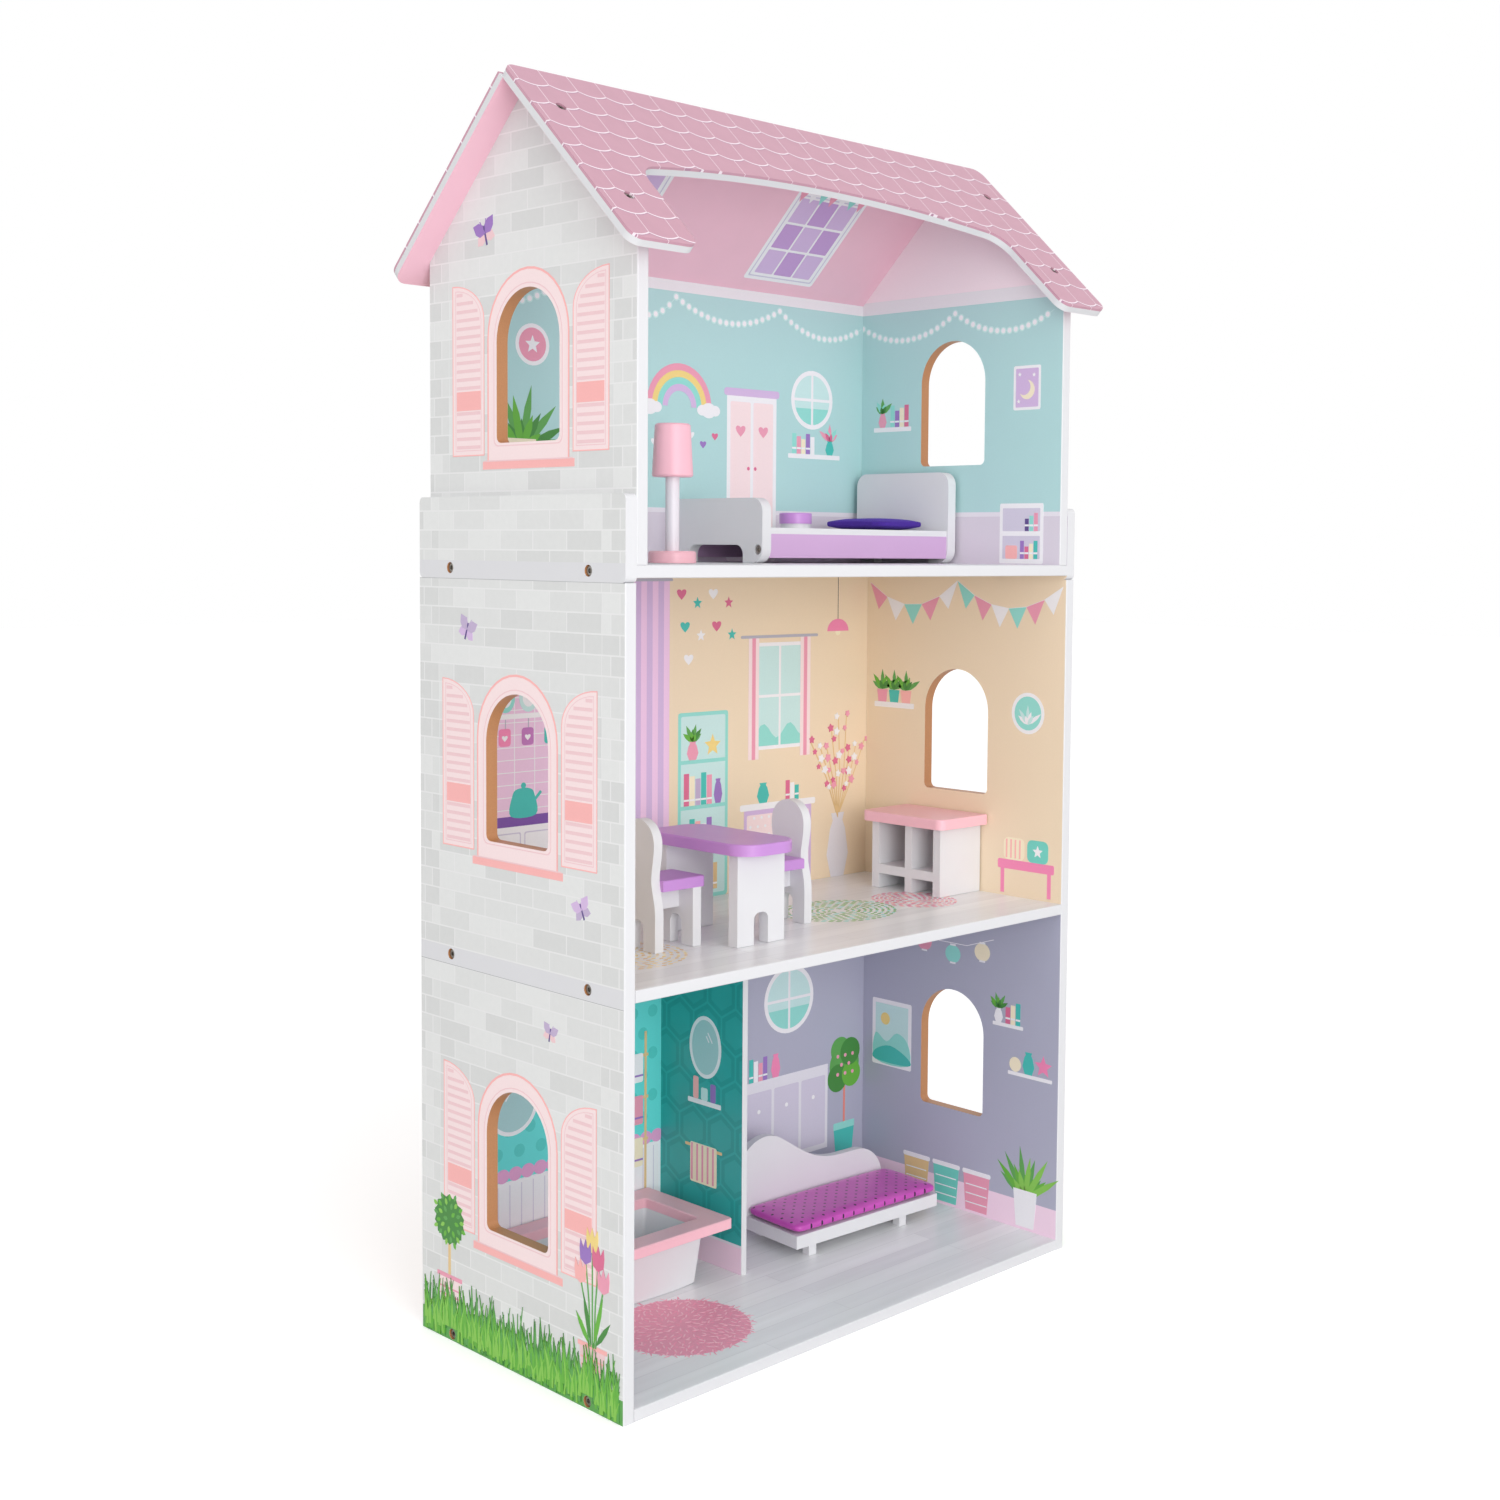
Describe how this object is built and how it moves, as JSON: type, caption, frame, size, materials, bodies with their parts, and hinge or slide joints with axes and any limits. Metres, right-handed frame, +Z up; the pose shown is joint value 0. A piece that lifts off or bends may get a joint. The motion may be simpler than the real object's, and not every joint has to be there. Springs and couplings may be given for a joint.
{
  "type": "dollhouse",
  "caption": "Tall open-fronted wooden dollhouse of stacked storeys with arched side windows, a scalloped gable roof and loose wooden furniture that slides out.",
  "frame": {"origin": "on the ground, under the middle of the roof, which is the middle of the bounding box's bottom", "axes": "+X to the right seen from the open front, +Y from the open front to the back, +Z up"},
  "size_m": [0.628, 0.3492, 1.1487],
  "materials": {
    "wall_print": "satin printed board, light grey brick outside",
    "floor_boards": "satin board, grey planks on top, white edges",
    "room_print": "satin printed board",
    "roof_pink": "satin printed board, pink shingles, white edges",
    "screw_steel": "plain steel, socket head",
    "dowel_wood": "bare wood",
    "white_paint": "satin white paint",
    "lilac_paint": "satin lilac paint",
    "pink_paint": "satin pink paint",
    "plush_violet": "short violet plush",
    "cushion_purple": "woven purple cloth with small dots"
  },
  "bodies": {
    "house": {"base_floor": "floor_boards", "middle_floor": "floor_boards", "attic_floor": "floor_boards", "left_wall_lower": "wall_print", "left_wall_middle": "wall_print", "right_wall_lower": "wall_print", "right_wall_middle": "wall_print", "left_parapet": "wall_print", "right_parapet": "wall_print", "left_gable_wall": "wall_print", "right_gable_wall": "wall_print", "back_panel_lower": "room_print", "back_panel_middle": "room_print", "back_panel_attic": "room_print", "room_partition": "room_print", "roof_front": "roof_pink", "roof_rear": "roof_pink", "wall_screws": "screw_steel", "roof_screws": "screw_steel", "attic_screws": "screw_steel", "wall_dowels": "dowel_wood"},
    "bed": {"bed_headboard": "white_paint", "bed_footboard": "white_paint", "bed_rail_front": "lilac_paint", "bed_rail_back": "lilac_paint", "bed_base": "white_paint", "bed_bolts": "screw_steel"},
    "pillow": {"bed_pillow": "plush_violet"},
    "trinket_box": {"box_base": "white_paint"},
    "trinket_lid": {"box_lid": "lilac_paint"},
    "lamp": {"lamp_base": "pink_paint", "lamp_post": "white_paint", "lamp_shade": "pink_paint"},
    "table": {"table_top": "lilac_paint", "table_leg_front": "white_paint", "table_leg_rear": "white_paint"},
    "chair_left": {"chair_left_back": "white_paint", "chair_left_seat": "lilac_paint", "chair_left_front_leg": "white_paint", "chair_left_rail": "white_paint"},
    "chair_right": {"chair_right_back": "white_paint", "chair_right_seat": "lilac_paint", "chair_right_front_leg": "white_paint", "chair_right_rail": "white_paint"},
    "bench": {"bench_top": "pink_paint", "bench_side_front": "white_paint", "bench_side_rear": "white_paint", "bench_divider": "white_paint", "bench_shelf": "white_paint"},
    "tub": {"tub_body": "white_paint", "tub_rim": "pink_paint"},
    "sofa": {"sofa_seat": "white_paint", "sofa_back": "white_paint", "sofa_legs": "white_paint"},
    "cushion": {"sofa_cushion": "cushion_purple"}
  },
  "joints": [
    {"name": "bed_out", "type": "slide", "parent": "house", "child": "bed", "axis": [0, -1, 0], "range_m": [0, 0.31]},
    {"name": "lamp_out", "type": "slide", "parent": "house", "child": "lamp", "axis": [0, -1, 0], "range_m": [0, 0.2]},
    {"name": "table_out", "type": "slide", "parent": "house", "child": "table", "axis": [0, -1, 0], "range_m": [0, 0.23]},
    {"name": "chair_left_out", "type": "slide", "parent": "house", "child": "chair_left", "axis": [0, -1, 0], "range_m": [0, 0.19]},
    {"name": "chair_right_out", "type": "slide", "parent": "house", "child": "chair_right", "axis": [0, -1, 0], "range_m": [0, 0.19]},
    {"name": "bench_out", "type": "slide", "parent": "house", "child": "bench", "axis": [0, -1, 0], "range_m": [0, 0.25]},
    {"name": "tub_out", "type": "slide", "parent": "house", "child": "tub", "axis": [0, -1, 0], "range_m": [0, 0.31]},
    {"name": "sofa_out", "type": "slide", "parent": "house", "child": "sofa", "axis": [0, -1, 0], "range_m": [0, 0.28]},
    {"name": "pillow_lift", "type": "slide", "parent": "bed", "child": "pillow", "axis": [0, 0, 1], "range_m": [0, 0.06]},
    {"name": "box_lift", "type": "slide", "parent": "bed", "child": "trinket_box", "axis": [0, 0, 1], "range_m": [0, 0.06]},
    {"name": "lid_lift", "type": "slide", "parent": "trinket_box", "child": "trinket_lid", "axis": [0, 0, 1], "range_m": [0, 0.04]},
    {"name": "cushion_lift", "type": "slide", "parent": "sofa", "child": "cushion", "axis": [0, 0, 1], "range_m": [0, 0.06]}
  ]
}
